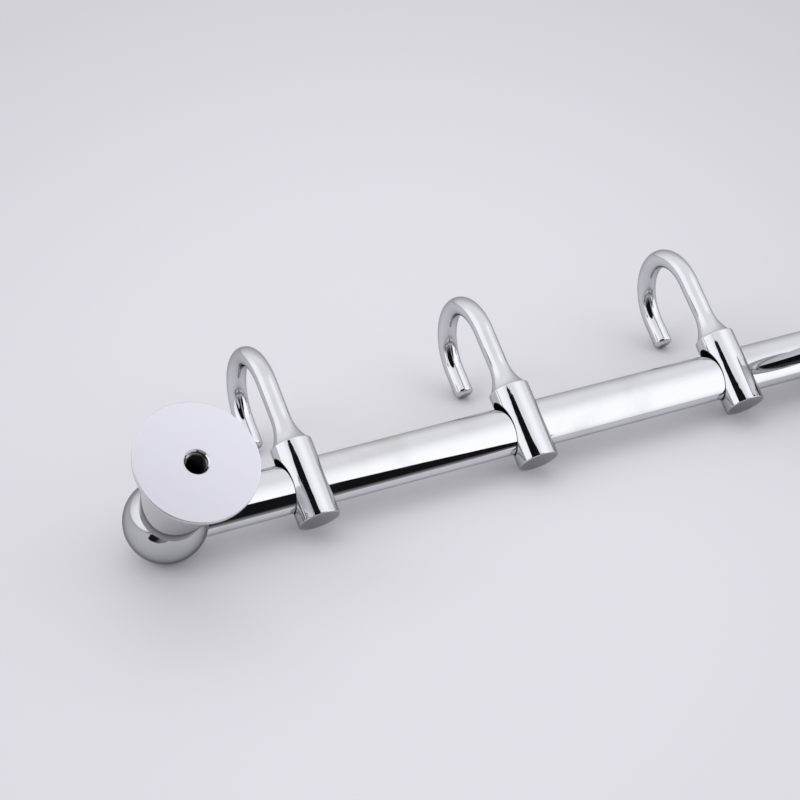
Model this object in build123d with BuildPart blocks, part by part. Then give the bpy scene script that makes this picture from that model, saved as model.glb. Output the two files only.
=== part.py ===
from build123d import *

import os
from math import sqrt

# Towel hook rail: an elliptical rail between two wall posts, with three hooks that slide along it.
# Millimetres. X runs along the rail, +Y points into the wall, +Z is up as the rail is used.
# The origin is on the wall face, half way between the two wall holes.

# Rail
rail_height = 24.0
rail_thickness = 12.0
rail_wall = 1.2

# Wall posts: a turned base with a flange and a conical neck, and a ball that holds the rail's end
post_spacing = 370.0
stand_off = 68.0
flange_diameter = 55.0
flange_edge = 2.2
flange_round = 0.4
flange_lip = 6.5
neck_end_diameter = 29.0
neck_flare = 5.5
neck_end_round = 0.4
ball_diameter = 38.6

# Threaded hole in each wall face, at the thread's outer diameter
wall_thread_diameter = 10.0
wall_thread_depth = 22.0
wall_thread_mouth = 11.6

# Stud that joins a ball to its base
stud_diameter = 8.0
stud_in_base = 12.0
stud_in_ball = 12.0
stud_chamfer = 0.8
stud_bore_spare = 1.0

# Socket for the rail's end, and the set screw under the ball that holds it
socket_floor = 5.5
rail_end_gap = 0.2
set_screw_diameter = 5.0
set_screw_length = 4.0
set_screw_inset = 10.5
set_screw_chamfer = 0.5
hex_key_size = 2.5
hex_key_depth = 2.2

# Hooks: a slotted round body, a flared neck and a bent wire, cast as one piece
hook_places = (-116.5, -1.5, 117.0)
body_diameter = 20.0
body_height = 39.0
shoulder_round = 1.0
crown_round = 0.5
slot_top_wall = 6.2
slot_drop = 2.6
neck_foot_diameter = 18.0
neck_height = 13.0
wire_diameter = 9.5
leg_length = 31.7
curl_width = 45.8
tip_length = 14.0
tip_round = 2.2

# Clearances, each measured on one side
hook_clearance = 0.3
socket_clearance = 0.1
thread_clearance = 0.05

# Sizes that follow from the ones above
ball_radius = ball_diameter / 2
rail_y = -stand_off
ball_seat = sqrt(ball_radius**2 - (neck_end_diameter / 2) ** 2)
base_length = stand_off - ball_seat
neck_root_diameter = flange_diameter - 2 * flange_lip
rail_half_length = post_spacing / 2 - socket_floor - rail_end_gap
body_top = rail_height / 2 + hook_clearance + slot_top_wall
body_bottom = body_top - body_height
slot_height = rail_height + 2 * hook_clearance + slot_drop
slot_centre = rail_height / 2 + hook_clearance - slot_height / 2
leg_end = body_bottom - leg_length
curl_radius = curl_width / 2
tip_end = leg_end + tip_length
set_screw_top = -rail_height / 2 - thread_clearance

os.makedirs("parts", exist_ok=True)


# Rail: a drawn tube of elliptical section, its ends inside the balls
with BuildPart() as rail:
    with BuildSketch(Plane.YZ.offset(-rail_half_length)) as rail_section:
        with Locations((rail_y, 0)):
            Ellipse(rail_thickness / 2, rail_height / 2)
            Ellipse(rail_thickness / 2 - rail_wall, rail_height / 2 - rail_wall, mode=Mode.SUBTRACT)
    extrude(amount=2 * rail_half_length)
rail.part.label = "rail"
export_step(rail.part, "parts/rail.step")


# Turned wall base, centred on its own axis: flange against the wall, cone towards the ball
with BuildPart() as turned_base:
    with BuildSketch(Plane.XY):
        with BuildLine():
            Polyline(
                (0, 0),
                (flange_diameter / 2, 0),
                (flange_diameter / 2, -flange_edge),
                (neck_root_diameter / 2, -flange_edge),
                (neck_end_diameter / 2, -base_length),
                (0, -base_length),
                close=True,
            )
        make_face()
        flange_rim = vertices().group_by(Axis.X)[-1]
        fillet(flange_rim, radius=flange_round)
        neck_root = vertices().sort_by_distance((neck_root_diameter / 2, -flange_edge))[0]
        fillet(neck_root, radius=neck_flare)
        neck_end = vertices().sort_by_distance((neck_end_diameter / 2, -base_length))[0]
        fillet(neck_end, radius=neck_end_round)
    revolve(axis=Axis.Y)
    with Locations(Plane(origin=(0, 0, 0), z_dir=(0, 1, 0))):
        Hole(wall_thread_diameter / 2, depth=wall_thread_depth)
    wall_face = faces().sort_by(Axis.Y)[-1]
    chamfer(wall_face.inner_wires().edges(), length=(wall_thread_mouth - wall_thread_diameter) / 2)
    with Locations(Plane(origin=(0, -base_length, 0), z_dir=(0, -1, 0))):
        Hole(stud_diameter / 2 + thread_clearance, depth=stud_in_base + stud_bore_spare)

# Ball for the left end, centred on itself: a flat for the base, a socket for the rail, a screw hole below
with BuildPart() as left_ball:
    Sphere(ball_radius, rotation=(0, 0, 180))
    split(bisect_by=Plane(origin=(0, ball_seat, 0), z_dir=(0, 1, 0)), keep=Keep.BOTTOM)
    with Locations(Plane(origin=(0, ball_seat, 0), z_dir=(0, 1, 0))):
        Hole(stud_diameter / 2 + thread_clearance, depth=stud_in_ball + stud_bore_spare)
    with BuildSketch(Plane.YZ.offset(socket_floor)):
        Ellipse(rail_thickness / 2 + socket_clearance, rail_height / 2 + socket_clearance)
    extrude(amount=ball_radius, mode=Mode.SUBTRACT)
    with BuildSketch(Plane.XY):
        with Locations((set_screw_inset, 0)):
            Circle(set_screw_diameter / 2 + thread_clearance)
    extrude(amount=-ball_radius, mode=Mode.SUBTRACT)

with BuildPart() as right_ball:
    mirror(left_ball.part, about=Plane.YZ)

# Stud, centred on the joint between base and ball
with BuildPart() as joining_stud:
    with BuildSketch(Plane(origin=(0, -stud_in_ball, 0), z_dir=(0, 1, 0))):
        Circle(stud_diameter / 2)
    extrude(amount=stud_in_ball + stud_in_base)
    chamfer(edges().filter_by(GeomType.CIRCLE), length=stud_chamfer)

# Set screw with a hex socket in its lower end, centred on its own axis
with BuildPart() as grub_screw:
    with BuildSketch(Plane.XY.offset(set_screw_top)):
        Circle(set_screw_diameter / 2)
    extrude(amount=-set_screw_length)
    chamfer(edges().filter_by(GeomType.CIRCLE), length=set_screw_chamfer)
    with BuildSketch(Plane.XY.offset(set_screw_top - set_screw_length)):
        RegularPolygon(hex_key_size / 2, 6, major_radius=False)
    extrude(amount=hex_key_depth, mode=Mode.SUBTRACT)


def write_piece(shape, name, place):
    """Write one solid, moved to its place, under its own name."""
    with BuildPart() as piece:
        with Locations(place):
            add(shape)
    piece.part.label = name
    export_step(piece.part, f"parts/{name}.step")


for side, sign, ball in (("left", -1, left_ball), ("right", 1, right_ball)):
    post_x = sign * post_spacing / 2
    write_piece(turned_base.part, f"wall_base_{side}", (post_x, 0, 0))
    write_piece(ball.part, f"ball_{side}", (post_x, rail_y, 0))
    write_piece(joining_stud.part, f"joining_stud_{side}", (post_x, -base_length, 0))
    write_piece(grub_screw.part, f"set_screw_{side}", (post_x - sign * set_screw_inset, rail_y, 0))


# Hook casting, centred on the rail
with BuildPart() as hook_casting:
    with BuildSketch(Plane.XY.offset(body_bottom)):
        Circle(body_diameter / 2)
    extrude(amount=body_height)
    fillet(edges().group_by(Axis.Z)[0], radius=shoulder_round)
    fillet(edges().group_by(Axis.Z)[-1], radius=crown_round)
    # Neck: a concave flare that runs out of the wire and into the body's shoulder
    with BuildSketch(Plane.XZ):
        with BuildLine():
            flare = TangentArc(
                (wire_diameter / 2, body_bottom - neck_height),
                (neck_foot_diameter / 2, body_bottom),
                tangent=(0, 1),
            )
            Polyline(flare @ 1, (0, body_bottom), (0, body_bottom - neck_height), flare @ 0)
        make_face()
    revolve(axis=Axis.Z)
    # Wire: down the leg, round the curl away from the wall, and up to the tip
    with BuildLine() as wire_path:
        Line((0, 0, body_bottom), (0, 0, leg_end))
        ThreePointArc(
            (0, 0, leg_end),
            (0, -curl_radius, leg_end - curl_radius),
            (0, -curl_width, leg_end),
        )
        Line((0, -curl_width, leg_end), (0, -curl_width, tip_end))
    with BuildSketch(Plane(origin=(0, 0, body_bottom), z_dir=(0, 0, -1))):
        Circle(wire_diameter / 2)
    sweep(path=wire_path.wires()[0])
    tip_face = faces().filter_by(Axis.Z).sort_by(Axis.Y)[0]
    fillet(tip_face.edges(), radius=tip_round)
    # Slot for the rail, longer below than the rail is high
    with BuildSketch(Plane.YZ.offset(-body_diameter)):
        with Locations((0, slot_centre)):
            Ellipse(rail_thickness / 2 + hook_clearance, slot_height / 2)
    extrude(amount=2 * body_diameter, mode=Mode.SUBTRACT)

for number, hook_x in enumerate(hook_places, start=1):
    write_piece(hook_casting.part, f"hook_{number}", (hook_x, rail_y, 0))
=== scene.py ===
import math

import bpy
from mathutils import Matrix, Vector


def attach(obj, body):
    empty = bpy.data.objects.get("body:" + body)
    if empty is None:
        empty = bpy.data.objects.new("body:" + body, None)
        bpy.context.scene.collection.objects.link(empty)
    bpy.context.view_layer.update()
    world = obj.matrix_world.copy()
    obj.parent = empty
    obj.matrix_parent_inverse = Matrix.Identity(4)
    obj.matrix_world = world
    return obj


# Towel hook rail, laid face down on a pale table with its wall side up.
# Everything is in metres in the part's own frame: X along the rail, +Y into the wall, +Z up in use.
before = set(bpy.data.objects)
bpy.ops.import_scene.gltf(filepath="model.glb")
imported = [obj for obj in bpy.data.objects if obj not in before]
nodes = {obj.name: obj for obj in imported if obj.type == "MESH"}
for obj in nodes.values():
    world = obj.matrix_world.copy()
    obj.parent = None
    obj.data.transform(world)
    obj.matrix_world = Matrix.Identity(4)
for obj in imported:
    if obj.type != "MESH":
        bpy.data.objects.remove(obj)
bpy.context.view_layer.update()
print("frame loaded,", len(nodes), "nodes")

scene = bpy.context.scene
scene.view_settings.view_transform = "Standard"

# The table as it lies under the rail, and the camera above it
view = {
    "tableTilt": 34.3,                          # degrees from the wall face to the table
    "cameraAt": (-0.4673, 0.8235, 0.2818),
    "lookAt": (-0.0804, -0.0166, -0.0105),
    "upwards": (0.2224, 0.4102, -0.8845),
    "lens": 98.3,
    "sensor": 36.0,
}

tilt = math.radians(view["tableTilt"])
tableUp = Vector((0, math.cos(tilt), -math.sin(tilt)))
# the rail's lowest points touch the table
tableLevel = min(v.co.dot(tableUp) for node in nodes.values() for v in node.data.vertices)


def makeCamera():
    data = bpy.data.cameras.new("photoCamera")
    data.lens = view["lens"]
    data.sensor_width = view["sensor"]
    camera = bpy.data.objects.new("photoCamera", data)
    scene.collection.objects.link(camera)
    back = (Vector(view["cameraAt"]) - Vector(view["lookAt"])).normalized()
    right = Vector(view["upwards"]).cross(back).normalized()
    upward = back.cross(right)
    turn = camera.matrix_world.to_3x3()
    turn.col[0], turn.col[1], turn.col[2] = right, upward, back
    camera.matrix_world = turn.to_4x4()
    camera.location = view["cameraAt"]
    scene.camera = camera
    return back


towardsCamera = makeCamera()
tableNear = (towardsCamera - tableUp * towardsCamera.dot(tableUp)).normalized()
tableSide = tableUp.cross(tableNear)
print("camera set")


# turn is degrees round the table from the camera's side, rise is degrees above the table
def studioDirection(turn, rise):
    turn, rise = math.radians(turn), math.radians(rise)
    flat = tableNear * math.cos(turn) + tableSide * math.sin(turn)
    return flat * math.cos(rise) + tableUp * math.sin(rise)


# values are numbers or sockets
def linkMath(tree, operation, *values):
    node = tree.nodes.new("ShaderNodeMath")
    node.operation = operation
    for socket, value in zip(node.inputs, values):
        if isinstance(value, (int, float)):
            socket.default_value = value
        else:
            tree.links.new(value, socket)
    return node.outputs[0]


def linkRange(tree, value, fromMin, fromMax, toMin, toMax):
    node = tree.nodes.new("ShaderNodeMapRange")
    node.interpolation_type = "SMOOTHSTEP"
    node.inputs["From Min"].default_value = fromMin
    node.inputs["From Max"].default_value = fromMax
    node.inputs["To Min"].default_value = toMin
    node.inputs["To Max"].default_value = toMax
    tree.links.new(value, node.inputs["Value"])
    return node.outputs["Result"]


def linkDot(tree, direction, axis):
    node = tree.nodes.new("ShaderNodeVectorMath")
    node.operation = "DOT_PRODUCT"
    node.inputs[1].default_value = axis
    tree.links.new(direction, node.inputs[0])
    return node.outputs["Value"]


# distance from an axis, given the two offsets from it
def linkRadius(tree, first, second):
    squares = linkMath(tree, "ADD", linkMath(tree, "POWER", first, 2), linkMath(tree, "POWER", second, 2))
    return linkMath(tree, "SQRT", squares)


def objectPlace(tree):
    return tree.nodes.new("ShaderNodeTexCoord").outputs["Object"]


def makeNoise(tree, place, scale, detail):
    noise = tree.nodes.new("ShaderNodeTexNoise")
    noise.inputs["Scale"].default_value = scale
    noise.inputs["Detail"].default_value = detail
    tree.links.new(place, noise.inputs["Vector"])
    return noise.outputs["Fac"]


def makeBump(tree, height, distance, normal=None):
    bump = tree.nodes.new("ShaderNodeBump")
    bump.inputs["Distance"].default_value = distance
    tree.links.new(height, bump.inputs["Height"])
    if normal is not None:
        tree.links.new(normal, bump.inputs["Normal"])
    return bump.outputs["Normal"]


# each colour is three numbers or a socket
def mixColours(tree, factor, first, second):
    mix = tree.nodes.new("ShaderNodeMix")
    mix.data_type = "RGBA"
    tree.links.new(factor, mix.inputs["Factor"])
    for socket, colour in ((mix.inputs[6], first), (mix.inputs[7], second)):
        if isinstance(colour, tuple):
            socket.default_value = (*colour, 1)
        else:
            tree.links.new(colour, socket)
    return mix.outputs[2]


def stretched(tree, place, stretch):
    mapping = tree.nodes.new("ShaderNodeMapping")
    mapping.inputs["Scale"].default_value = stretch
    tree.links.new(place, mapping.inputs["Vector"])
    return mapping.outputs["Vector"]


# Light tent: pale all round, brighter on two sides, dim towards the back and below the table
tent = {
    "colour": (0.99, 0.985, 1.03),
    "strength": 1.06,
    "backdrop": (0.69, 0.68, 0.73),             # what the camera sees past the table
    # turn, rise, degrees where it fades out, degrees where it is full, gain
    "glows": (
        (68, 36, 44, 10, 0.44),
        (100, 4, 34, 8, 0.20),
        (-76, 20, 44, 12, 0.30),
        (180, 0, 62, 8, -0.34),
    ),
    "belowTable": 0.12,                         # share of the light that is left there
    "horizon": (-0.06, 0.0),                    # sine of the rise, from that share up to the whole
}


def makeTent():
    world = bpy.data.worlds.new("lightTent")
    scene.world = world
    world.use_nodes = True
    tree = world.node_tree
    tree.nodes.clear()
    new, link = tree.nodes.new, tree.links.new
    direction = new("ShaderNodeTexCoord").outputs["Generated"]
    total = tent["strength"]
    for turn, rise, wide, full, gain in tent["glows"]:
        near = linkDot(tree, direction, studioDirection(turn, rise))
        fade = linkRange(tree, near, math.cos(math.radians(wide)), math.cos(math.radians(full)), 0, gain)
        total = linkMath(tree, "ADD", fade, total)
    rise = linkDot(tree, direction, tableUp)
    total = linkMath(tree, "MULTIPLY", total, linkRange(tree, rise, *tent["horizon"], tent["belowTable"], 1))
    glow = new("ShaderNodeBackground")
    glow.inputs["Color"].default_value = (*tent["colour"], 1)
    link(total, glow.inputs["Strength"])
    plain = new("ShaderNodeBackground")
    plain.inputs["Color"].default_value = (*tent["backdrop"], 1)
    mix = new("ShaderNodeMixShader")
    link(new("ShaderNodeLightPath").outputs["Is Camera Ray"], mix.inputs["Fac"])
    link(glow.outputs[0], mix.inputs[1])
    link(plain.outputs[0], mix.inputs[2])
    link(mix.outputs[0], new("ShaderNodeOutputWorld").inputs["Surface"])


makeTent()
print("light tent made")


def makeCard(name, corners, colour, roughness):
    mesh = bpy.data.meshes.new(name)
    mesh.from_pydata(corners, [], [tuple(range(len(corners)))])
    mesh.update()
    if mesh.polygons[0].normal.dot(tableUp) < 0:
        mesh.flip_normals()
    card = bpy.data.objects.new(name, mesh)
    scene.collection.objects.link(card)
    material = bpy.data.materials.new(name)
    material.use_nodes = True
    surface = material.node_tree.nodes["Principled BSDF"]
    surface.inputs["Base Color"].default_value = (*colour, 1)
    surface.inputs["Roughness"].default_value = roughness
    surface.inputs["Specular IOR Level"].default_value = 0.0
    mesh.materials.append(material)
    return card


# A card seen only in reflections. Along one axis its glow goes from one strength to another: a haze.
def makeDarkCard(name, corners, colour, axis, band, glow):
    card = makeCard(name, corners, colour, 1.0)
    card.visible_camera = False
    card.visible_diffuse = False
    card.visible_shadow = False
    tree = card.data.materials[0].node_tree
    surface = tree.nodes["Principled BSDF"]
    surface.inputs["Emission Color"].default_value = (1, 1, 1, 1)
    haze = linkRange(tree, linkDot(tree, objectPlace(tree), axis), *band, *glow)
    tree.links.new(haze, surface.inputs["Emission Strength"])


# Dark opening of the tent on the camera's side, hazy in its lower part
opening = {
    "turn": 0,
    "rise": 30,
    "distance": 0.6,
    "middle": (-0.05, -0.07, 0.0),
    "colour": (0.012, 0.012, 0.016),
    "haze": 0.30,
    "hazeBand": (-0.33, -0.05),                 # upwards from the opening's middle
    # outline in the opening's own plane, sideways and upwards
    "outline": (
        (-0.45, 0.26), (-0.375, 0.335), (-0.325, 0.372), (-0.275, 0.404), (-0.225, 0.428), (-0.175, 0.45),
        (-0.125, 0.467), (-0.075, 0.489), (-0.035, 0.507), (0.0, 0.486), (0.04, 0.488), (0.10, 0.517),
        (0.16, 0.54), (0.22, 0.52), (0.36, 0.35), (0.47, 0.34), (0.60, 0.265), (0.70, 0.19),
        (0.80, 0.10), (0.88, 0.0), (0.96, -0.15), (0.96, -0.36), (-0.45, -0.36),
    ),
}


def makeOpening():
    facing = studioDirection(opening["turn"], opening["rise"])
    upward = facing.cross(tableSide)
    if upward.dot(tableUp) < 0:
        upward = -upward
    middle = Vector(opening["middle"]) + facing * opening["distance"]
    corners = [middle + tableSide * aside + upward * high for aside, high in opening["outline"]]
    level = middle.dot(upward)
    band = [level + high for high in opening["hazeBand"]]
    makeDarkCard("tentOpening", corners, opening["colour"], upward, band, (opening["haze"], 0))


makeOpening()

# Painted reflection: a dark patch just above the table beside the left ball, seen only in reflections, that
# puts a dark spot in the ball; its far end glows a little, a painted haze
paintedReflectionPatch = {
    "colour": (0.01, 0.01, 0.012),
    "lift": 0.0005,                             # above the table
    "haze": 0.28,
    "hazeBand": (-0.207, -0.18),                # sideways
    # outline on the table, towards the camera and sideways
    "outline": (
        (0.118, -0.215), (0.128, -0.23), (0.152, -0.244), (0.19, -0.262), (0.25, -0.305),
        (0.30, -0.29), (0.20, -0.21), (0.15, -0.165), (0.135, -0.155), (0.114, -0.19),
    ),
}


def makePaintedReflectionPatch():
    # a sheet that only reflections see, painting a dark reflection into the left ball
    middle = tableUp * (tableLevel + paintedReflectionPatch["lift"])
    corners = [middle + tableNear * near + tableSide * aside for near, aside in paintedReflectionPatch["outline"]]
    glow = (0, paintedReflectionPatch["haze"])
    makeDarkCard("paintedReflectionPatch", corners, paintedReflectionPatch["colour"], tableSide, paintedReflectionPatch["hazeBand"], glow)


makePaintedReflectionPatch()
print("dark cards made")

# A wide soft lamp behind the rail throws its shadow towards the camera, and a weaker one on the left fills it
lamps = {
    "softLamp": {
        "turn": 200, "rise": 58, "distance": 3.0, "size": 4.2, "power": 23.5, "colour": (1.0, 0.985, 0.98),
    },
    "fillLamp": {
        "turn": -72, "rise": 34, "distance": 3.0, "size": 1.8, "power": 14.0, "colour": (1.0, 0.985, 0.99),
    },
}


def makeLamp(name, lamp):
    data = bpy.data.lights.new(name, "AREA")
    data.shape = "DISK"
    data.size = lamp["size"]
    data.energy = lamp["power"]
    data.color = lamp["colour"]
    source = bpy.data.objects.new(name, data)
    scene.collection.objects.link(source)
    away = studioDirection(lamp["turn"], lamp["rise"])
    source.location = away * lamp["distance"]
    source.rotation_mode = "QUATERNION"
    source.rotation_quaternion = away.to_track_quat("Z", "Y")
    source.visible_glossy = False


for lampName, lamp in lamps.items():
    makeLamp(lampName, lamp)
print("lamps made")

# Table: a matt pale sheet that ends a little nearer than the picture's lower edge, seen only from above
# Its colour holds painted light: a pale pool in the middle and painted shade around it
table = {
    "colour": (0.575, 0.57, 0.592),
    "dim": (0.45, 0.445, 0.465),                # painted shade: the table's colour far from its pale middle
    "roughness": 0.6,
    "near": 0.42,                               # how far it reaches towards the camera
    "far": 3.0,
    "side": 2.5,
    "middle": (-0.02, -0.06),                   # of the painted pool of light, towards the camera and sideways
    "fade": (0.05, 0.9),                        # distances from it where the painted shade starts and ends
    "squeeze": 1.6,                             # the painted pool of light is this much longer than wide
}


def makeTable():
    middle = tableUp * tableLevel
    ends = ((-table["far"], -1), (table["near"], -1), (table["near"], 1), (-table["far"], 1))
    corners = [middle + tableNear * near + tableSide * (side * table["side"]) for near, side in ends]
    top = makeCard("tableTop", corners, table["colour"], table["roughness"])
    tree = top.data.materials[0].node_tree
    surface = tree.nodes["Principled BSDF"]
    place = objectPlace(tree)
    near = linkMath(tree, "SUBTRACT", linkDot(tree, place, tableNear), table["middle"][0])
    aside = linkMath(tree, "SUBTRACT", linkDot(tree, place, tableSide), table["middle"][1])
    aside = linkMath(tree, "MULTIPLY", aside, table["squeeze"])
    # painted light: the table goes from pale in the middle to darker away from it, standing in for the
    # light's falloff
    paintedFalloff = linkRange(tree, linkRadius(tree, near, aside), *table["fade"], 0, 1)
    tree.links.new(mixColours(tree, paintedFalloff, table["colour"], table["dim"]), surface.inputs["Base Color"])
    mix = tree.nodes.new("ShaderNodeMixShader")
    tree.links.new(tree.nodes.new("ShaderNodeNewGeometry").outputs["Backfacing"], mix.inputs["Fac"])
    tree.links.new(surface.outputs[0], mix.inputs[1])
    tree.links.new(tree.nodes.new("ShaderNodeBsdfTransparent").outputs[0], mix.inputs[2])
    tree.links.new(mix.outputs[0], tree.nodes["Material Output"].inputs["Surface"])


makeTable()
print("table made")

# The rail's slot through each hook: an ellipse in Y and Z
slot = {
    "y": -0.068,
    "z": -0.0013,
    "halfThick": 0.0063,
    "halfHigh": 0.0136,
    "edge": (1.03, 1.10),                       # where the painted shade on the slot wall ends; 1 is the ellipse
}
# The wall end of each post
post = {
    "x": 0.185,
    "bore": (0.00505, 0.0053),                  # radius where the painted shade inside the bore ends
    "boreMouth": (-0.0030, -0.0018),            # in Y, where the painted shade inside the bore ends
    "face": (-0.0004, -0.00025),                # in Y, where the turned face starts
}


# 1 on the wall of the slot: the painted shade there
def hookSlot(tree, x, y, z):
    across = linkMath(tree, "DIVIDE", linkMath(tree, "SUBTRACT", y, slot["y"]), slot["halfThick"])
    along = linkMath(tree, "DIVIDE", linkMath(tree, "SUBTRACT", z, slot["z"]), slot["halfHigh"])
    squares = linkMath(tree, "ADD", linkMath(tree, "POWER", across, 2), linkMath(tree, "POWER", along, 2))
    return linkRange(tree, squares, *slot["edge"], 1, 0)


# distance from the axis of the nearer post
def postRadius(tree, x, z):
    return linkRadius(tree, linkMath(tree, "SUBTRACT", linkMath(tree, "ABSOLUTE", x), post["x"]), z)


# 1 in the threaded hole of either post, below the first turn of its thread: the painted shade there
def wallBore(tree, x, y, z):
    inside = linkRange(tree, postRadius(tree, x, z), *post["bore"], 1, 0)
    return linkMath(tree, "MULTIPLY", inside, linkRange(tree, y, *post["boreMouth"], 1, 0))


# 1 on the flat face that goes against the wall, and the height of the rings that turning left there
def wallFace(tree, x, y, z):
    ring = tree.nodes.new("ShaderNodeCombineXYZ")
    tree.links.new(postRadius(tree, x, z), ring.inputs["X"])
    rings = makeNoise(tree, ring.outputs[0], chrome["ringScale"], chrome["ringDetail"])
    face = linkRange(tree, y, *post["face"], 0, 1)
    return face, linkMath(tree, "MULTIPLY", face, rings)


# Polished chrome: clear reflections, faint smudges, hairlines and the slight waviness of a plated casting
chrome = {
    "colour": (0.655, 0.66, 0.675),
    "dull": (0.60, 0.60, 0.61),
    "clean": 0.028,                             # roughness
    "smudged": 0.085,                           # roughness
    "smudgeScale": 38,
    "smudgeDetail": 4,
    "smudgeRange": (0.52, 0.74),                # of the noise, from clean to smudged
    "hairScale": 12,
    "hairDetail": 5,
    "hairRange": (0.62, 0.70),                  # of the noise, from clean to scratched
    "hairWeight": 0.8,                          # a scratch's share of a full smudge
    "waveDetail": 1,
    "wornDepth": 0.012,                         # over which the wear comes in
    "unworn": 0.25,                             # share of the scratches left where nothing hangs
    # the faces against the wall are turned, not polished
    "faceColour": (0.78, 0.778, 0.822),
    "faceRoughness": 0.42,
    "ringScale": 1500,
    "ringDetail": 2,
    "ringDepth": 1.5e-6,
    # inside bores and slots: painted shade, a dark matt colour on their walls
    "recessShade": (0.05, 0.05, 0.054),
    "recessShadeRoughness": 0.42,
}
# stretch: of the hairlines along X, Y and Z; wave and hairline: heights
# deep: share of a straight reflection that the piece gives back; rim: share at its outline
chromeKinds = {
    "railChrome": {
        "stretch": (9, 420, 420), "waveScale": 55, "wave": 1.6e-5, "hairline": 1.2e-7,
        "deep": 1.0, "rim": 0.55,
    },
    "postChrome": {
        "stretch": (160, 60, 160), "waveScale": 70, "wave": 0.8e-5, "hairline": 0.4e-7,
        "deep": 1.0, "rim": 0.82,
    },
    # the ball's chrome is a darker copy of the post's: painted shade for the darker reflections low on the
    # ball
    "shadedBallChrome": {
        "stretch": (160, 60, 160), "waveScale": 70, "wave": 0.8e-5, "hairline": 0.6e-7,
        "deep": 0.87, "rim": 0.38,
    },
    "hookChrome": {
        "stretch": (260, 160, 60), "waveScale": 150, "wave": 1.8e-5, "hairline": 1.4e-7,
        "deep": 1.0, "rim": 0.52,
        "worn": -0.066,                         # the height in Z below which towels rub it
    },
}


# hollow gives the mask of painted shade in bores and slots, and turned that of the wall face
def makeChrome(name, hollow=None, turned=None):
    kind = chromeKinds[name]
    material = bpy.data.materials.new(name)
    material.use_nodes = True
    tree = material.node_tree
    surface = tree.nodes["Principled BSDF"]
    place = objectPlace(tree)
    smudges = makeNoise(tree, place, chrome["smudgeScale"], chrome["smudgeDetail"])
    smudge = linkRange(tree, smudges, *chrome["smudgeRange"], 0, 1)
    hairPlace = stretched(tree, place, kind["stretch"])
    hairs = makeNoise(tree, hairPlace, chrome["hairScale"], chrome["hairDetail"])
    scratch = linkRange(tree, hairs, *chrome["hairRange"], 0, 1)
    axis = tree.nodes.new("ShaderNodeSeparateXYZ")
    tree.links.new(place, axis.inputs[0])
    x, y, z = axis.outputs
    if "worn" in kind:
        rubbed = linkRange(tree, z, kind["worn"], kind["worn"] - chrome["wornDepth"], 0, 1)
        scratch = linkMath(tree, "MULTIPLY", scratch, linkMath(tree, "ADD", rubbed, chrome["unworn"]))
    marks = linkMath(tree, "MAXIMUM", smudge, linkMath(tree, "MULTIPLY", scratch, chrome["hairWeight"]))
    rough = linkRange(tree, marks, 0, 1, chrome["clean"], chrome["smudged"])
    clean, dull = (tuple(c * kind["deep"] for c in chrome[tone]) for tone in ("colour", "dull"))
    colour = mixColours(tree, marks, clean, dull)
    wave = makeBump(tree, makeNoise(tree, place, kind["waveScale"], chrome["waveDetail"]), kind["wave"])
    normal = makeBump(tree, hairs, kind["hairline"], wave)
    if turned is not None:
        face, rings = turned(tree, x, y, z)
        normal = makeBump(tree, rings, chrome["ringDepth"], normal)
        colour = mixColours(tree, face, colour, chrome["faceColour"])
        rough = linkMath(tree, "MAXIMUM", rough, linkMath(tree, "MULTIPLY", face, chrome["faceRoughness"]))
    if hollow is not None:
        # painted shade in the recesses: a dark colour where the hollow's mask is 1
        recessShade = hollow(tree, x, y, z)
        colour = mixColours(tree, recessShade, colour, chrome["recessShade"])
        rough = linkMath(tree, "MAXIMUM", rough, linkMath(tree, "MULTIPLY", recessShade, chrome["recessShadeRoughness"]))
    tree.links.new(normal, surface.inputs["Normal"])
    tree.links.new(colour, surface.inputs["Base Color"])
    tree.links.new(rough, surface.inputs["Roughness"])
    surface.inputs["Metallic"].default_value = 1.0
    surface.inputs["Specular Tint"].default_value = (kind["rim"], kind["rim"], kind["rim"], 1)
    return material


# Zinc-plated steel of the hidden screws and studs
steel = {
    "colour": (0.46, 0.47, 0.48),
    "stain": (0.33, 0.32, 0.30),
    "smooth": 0.22,                             # roughness
    "coarse": 0.46,                             # roughness
    "patchScale": 240,
    "patchDetail": 5,
    "stainRange": (0.4, 0.7),                   # of the patches' noise
    "coarseRange": (0.3, 0.7),                  # of the patches' noise
    "grainStretch": (1, 9, 1),
    "grainScale": 900,
    "grainDetail": 3,
    "grain": 6e-7,
}


def makeSteel(name):
    material = bpy.data.materials.new(name)
    material.use_nodes = True
    tree = material.node_tree
    surface = tree.nodes["Principled BSDF"]
    place = objectPlace(tree)
    patches = makeNoise(tree, place, steel["patchScale"], steel["patchDetail"])
    stains = linkRange(tree, patches, *steel["stainRange"], 0, 1)
    rough = linkRange(tree, patches, *steel["coarseRange"], steel["smooth"], steel["coarse"])
    grainPlace = stretched(tree, place, steel["grainStretch"])
    grain = makeNoise(tree, grainPlace, steel["grainScale"], steel["grainDetail"])
    tree.links.new(mixColours(tree, stains, steel["colour"], steel["stain"]), surface.inputs["Base Color"])
    tree.links.new(rough, surface.inputs["Roughness"])
    tree.links.new(makeBump(tree, grain, steel["grain"]), surface.inputs["Normal"])
    surface.inputs["Metallic"].default_value = 1.0
    return material


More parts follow.
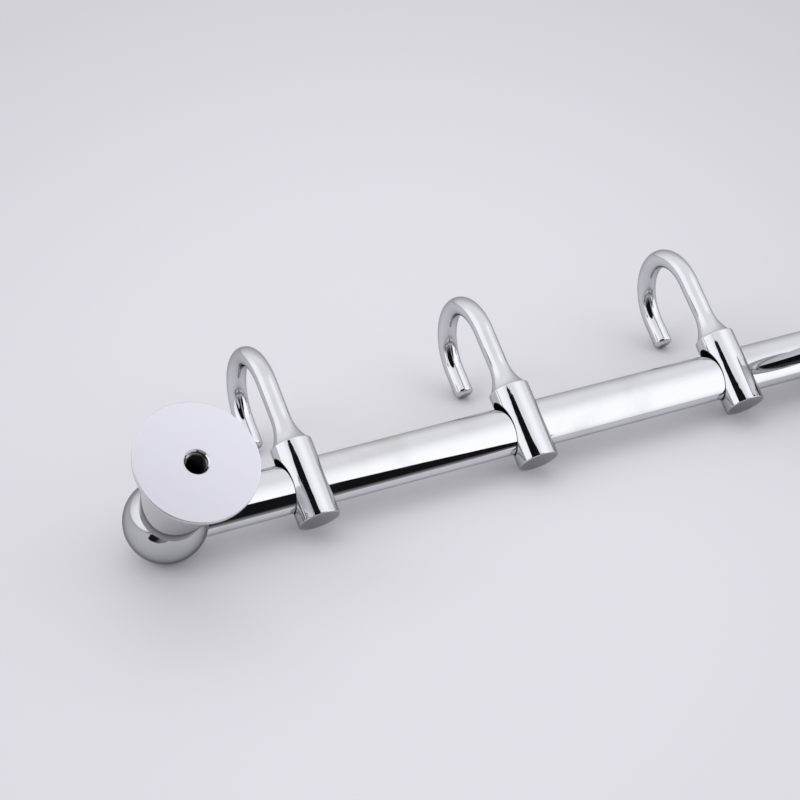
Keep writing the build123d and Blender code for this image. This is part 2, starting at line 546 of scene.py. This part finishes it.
# which finish each sort of piece takes
finishes = {
    "rail": makeChrome("railChrome"),
    "wall_base": makeChrome("postChrome", hollow=wallBore, turned=wallFace),
    "ball": makeChrome("shadedBallChrome"),
    "hook": makeChrome("hookChrome", hollow=hookSlot),
}
finishes["joining_stud"] = finishes["set_screw"] = makeSteel("zincSteel")

for name, node in nodes.items():
    # wall_base_left and wall_base_right are both wall_base, and so on
    sort = name if name in finishes else name.rsplit("_", 1)[0]
    node.data.materials.clear()
    node.data.materials.append(finishes[sort])
print("finishes made")

# Thread in each post's wall hole: one helical ridge with the hole's bore as its root
thread = {
    "root": 0.00502,
    "crest": 0.00425,
    "pitch": 0.0015,
    "start": -0.0009,
    "length": 0.0195,
    "steps": 40,                                # to a turn
    "ridge": 0.47,                              # half the ridge's width at its root, in pitches
    "flat": 0.14,                               # its width at the crest, as a share of that at the root
    "runOut": 2,                                # full height after 1 / runOut of a turn
    "sharp": 40,                                # degrees between faces that stay sharp
}


def makeThread(name, side):
    steps, root = thread["steps"], thread["root"]
    turns = thread["length"] / thread["pitch"]
    count = int(turns * steps)
    half = thread["pitch"] * thread["ridge"]
    flat = half * thread["flat"]
    profile = ((root, -half), (thread["crest"], -flat), (thread["crest"], flat), (root, half))
    points, faces = [], []
    for i in range(count + 1):
        angle = 2 * math.pi * i / steps
        along = thread["start"] - half - thread["length"] * i / count
        # the ridge runs out smoothly at both ends
        rise = min(1, i / steps * thread["runOut"], (count - i) / steps * thread["runOut"])
        for radius, offset in profile:
            reach = root + (radius - root) * rise
            x = side * post["x"] + reach * math.cos(angle)
            points.append((x, along + offset, reach * math.sin(angle)))
    width = len(profile)
    for i in range(count):
        for j in range(width):
            a, b = i * width + j, i * width + (j + 1) % width
            faces.append((a, b, b + width, a + width))
    mesh = bpy.data.meshes.new(name)
    mesh.from_pydata(points, [], faces)
    mesh.update()
    mesh.shade_smooth()
    mesh.set_sharp_from_angle(angle=math.radians(thread["sharp"]))
    mesh.materials.append(finishes["wall_base"])
    ridge = bpy.data.objects.new(name, mesh)
    scene.collection.objects.link(ridge)
    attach(ridge, "rail_frame")


makeThread("wallThreadLeft", -1)
makeThread("wallThreadRight", 1)
print("threads made")
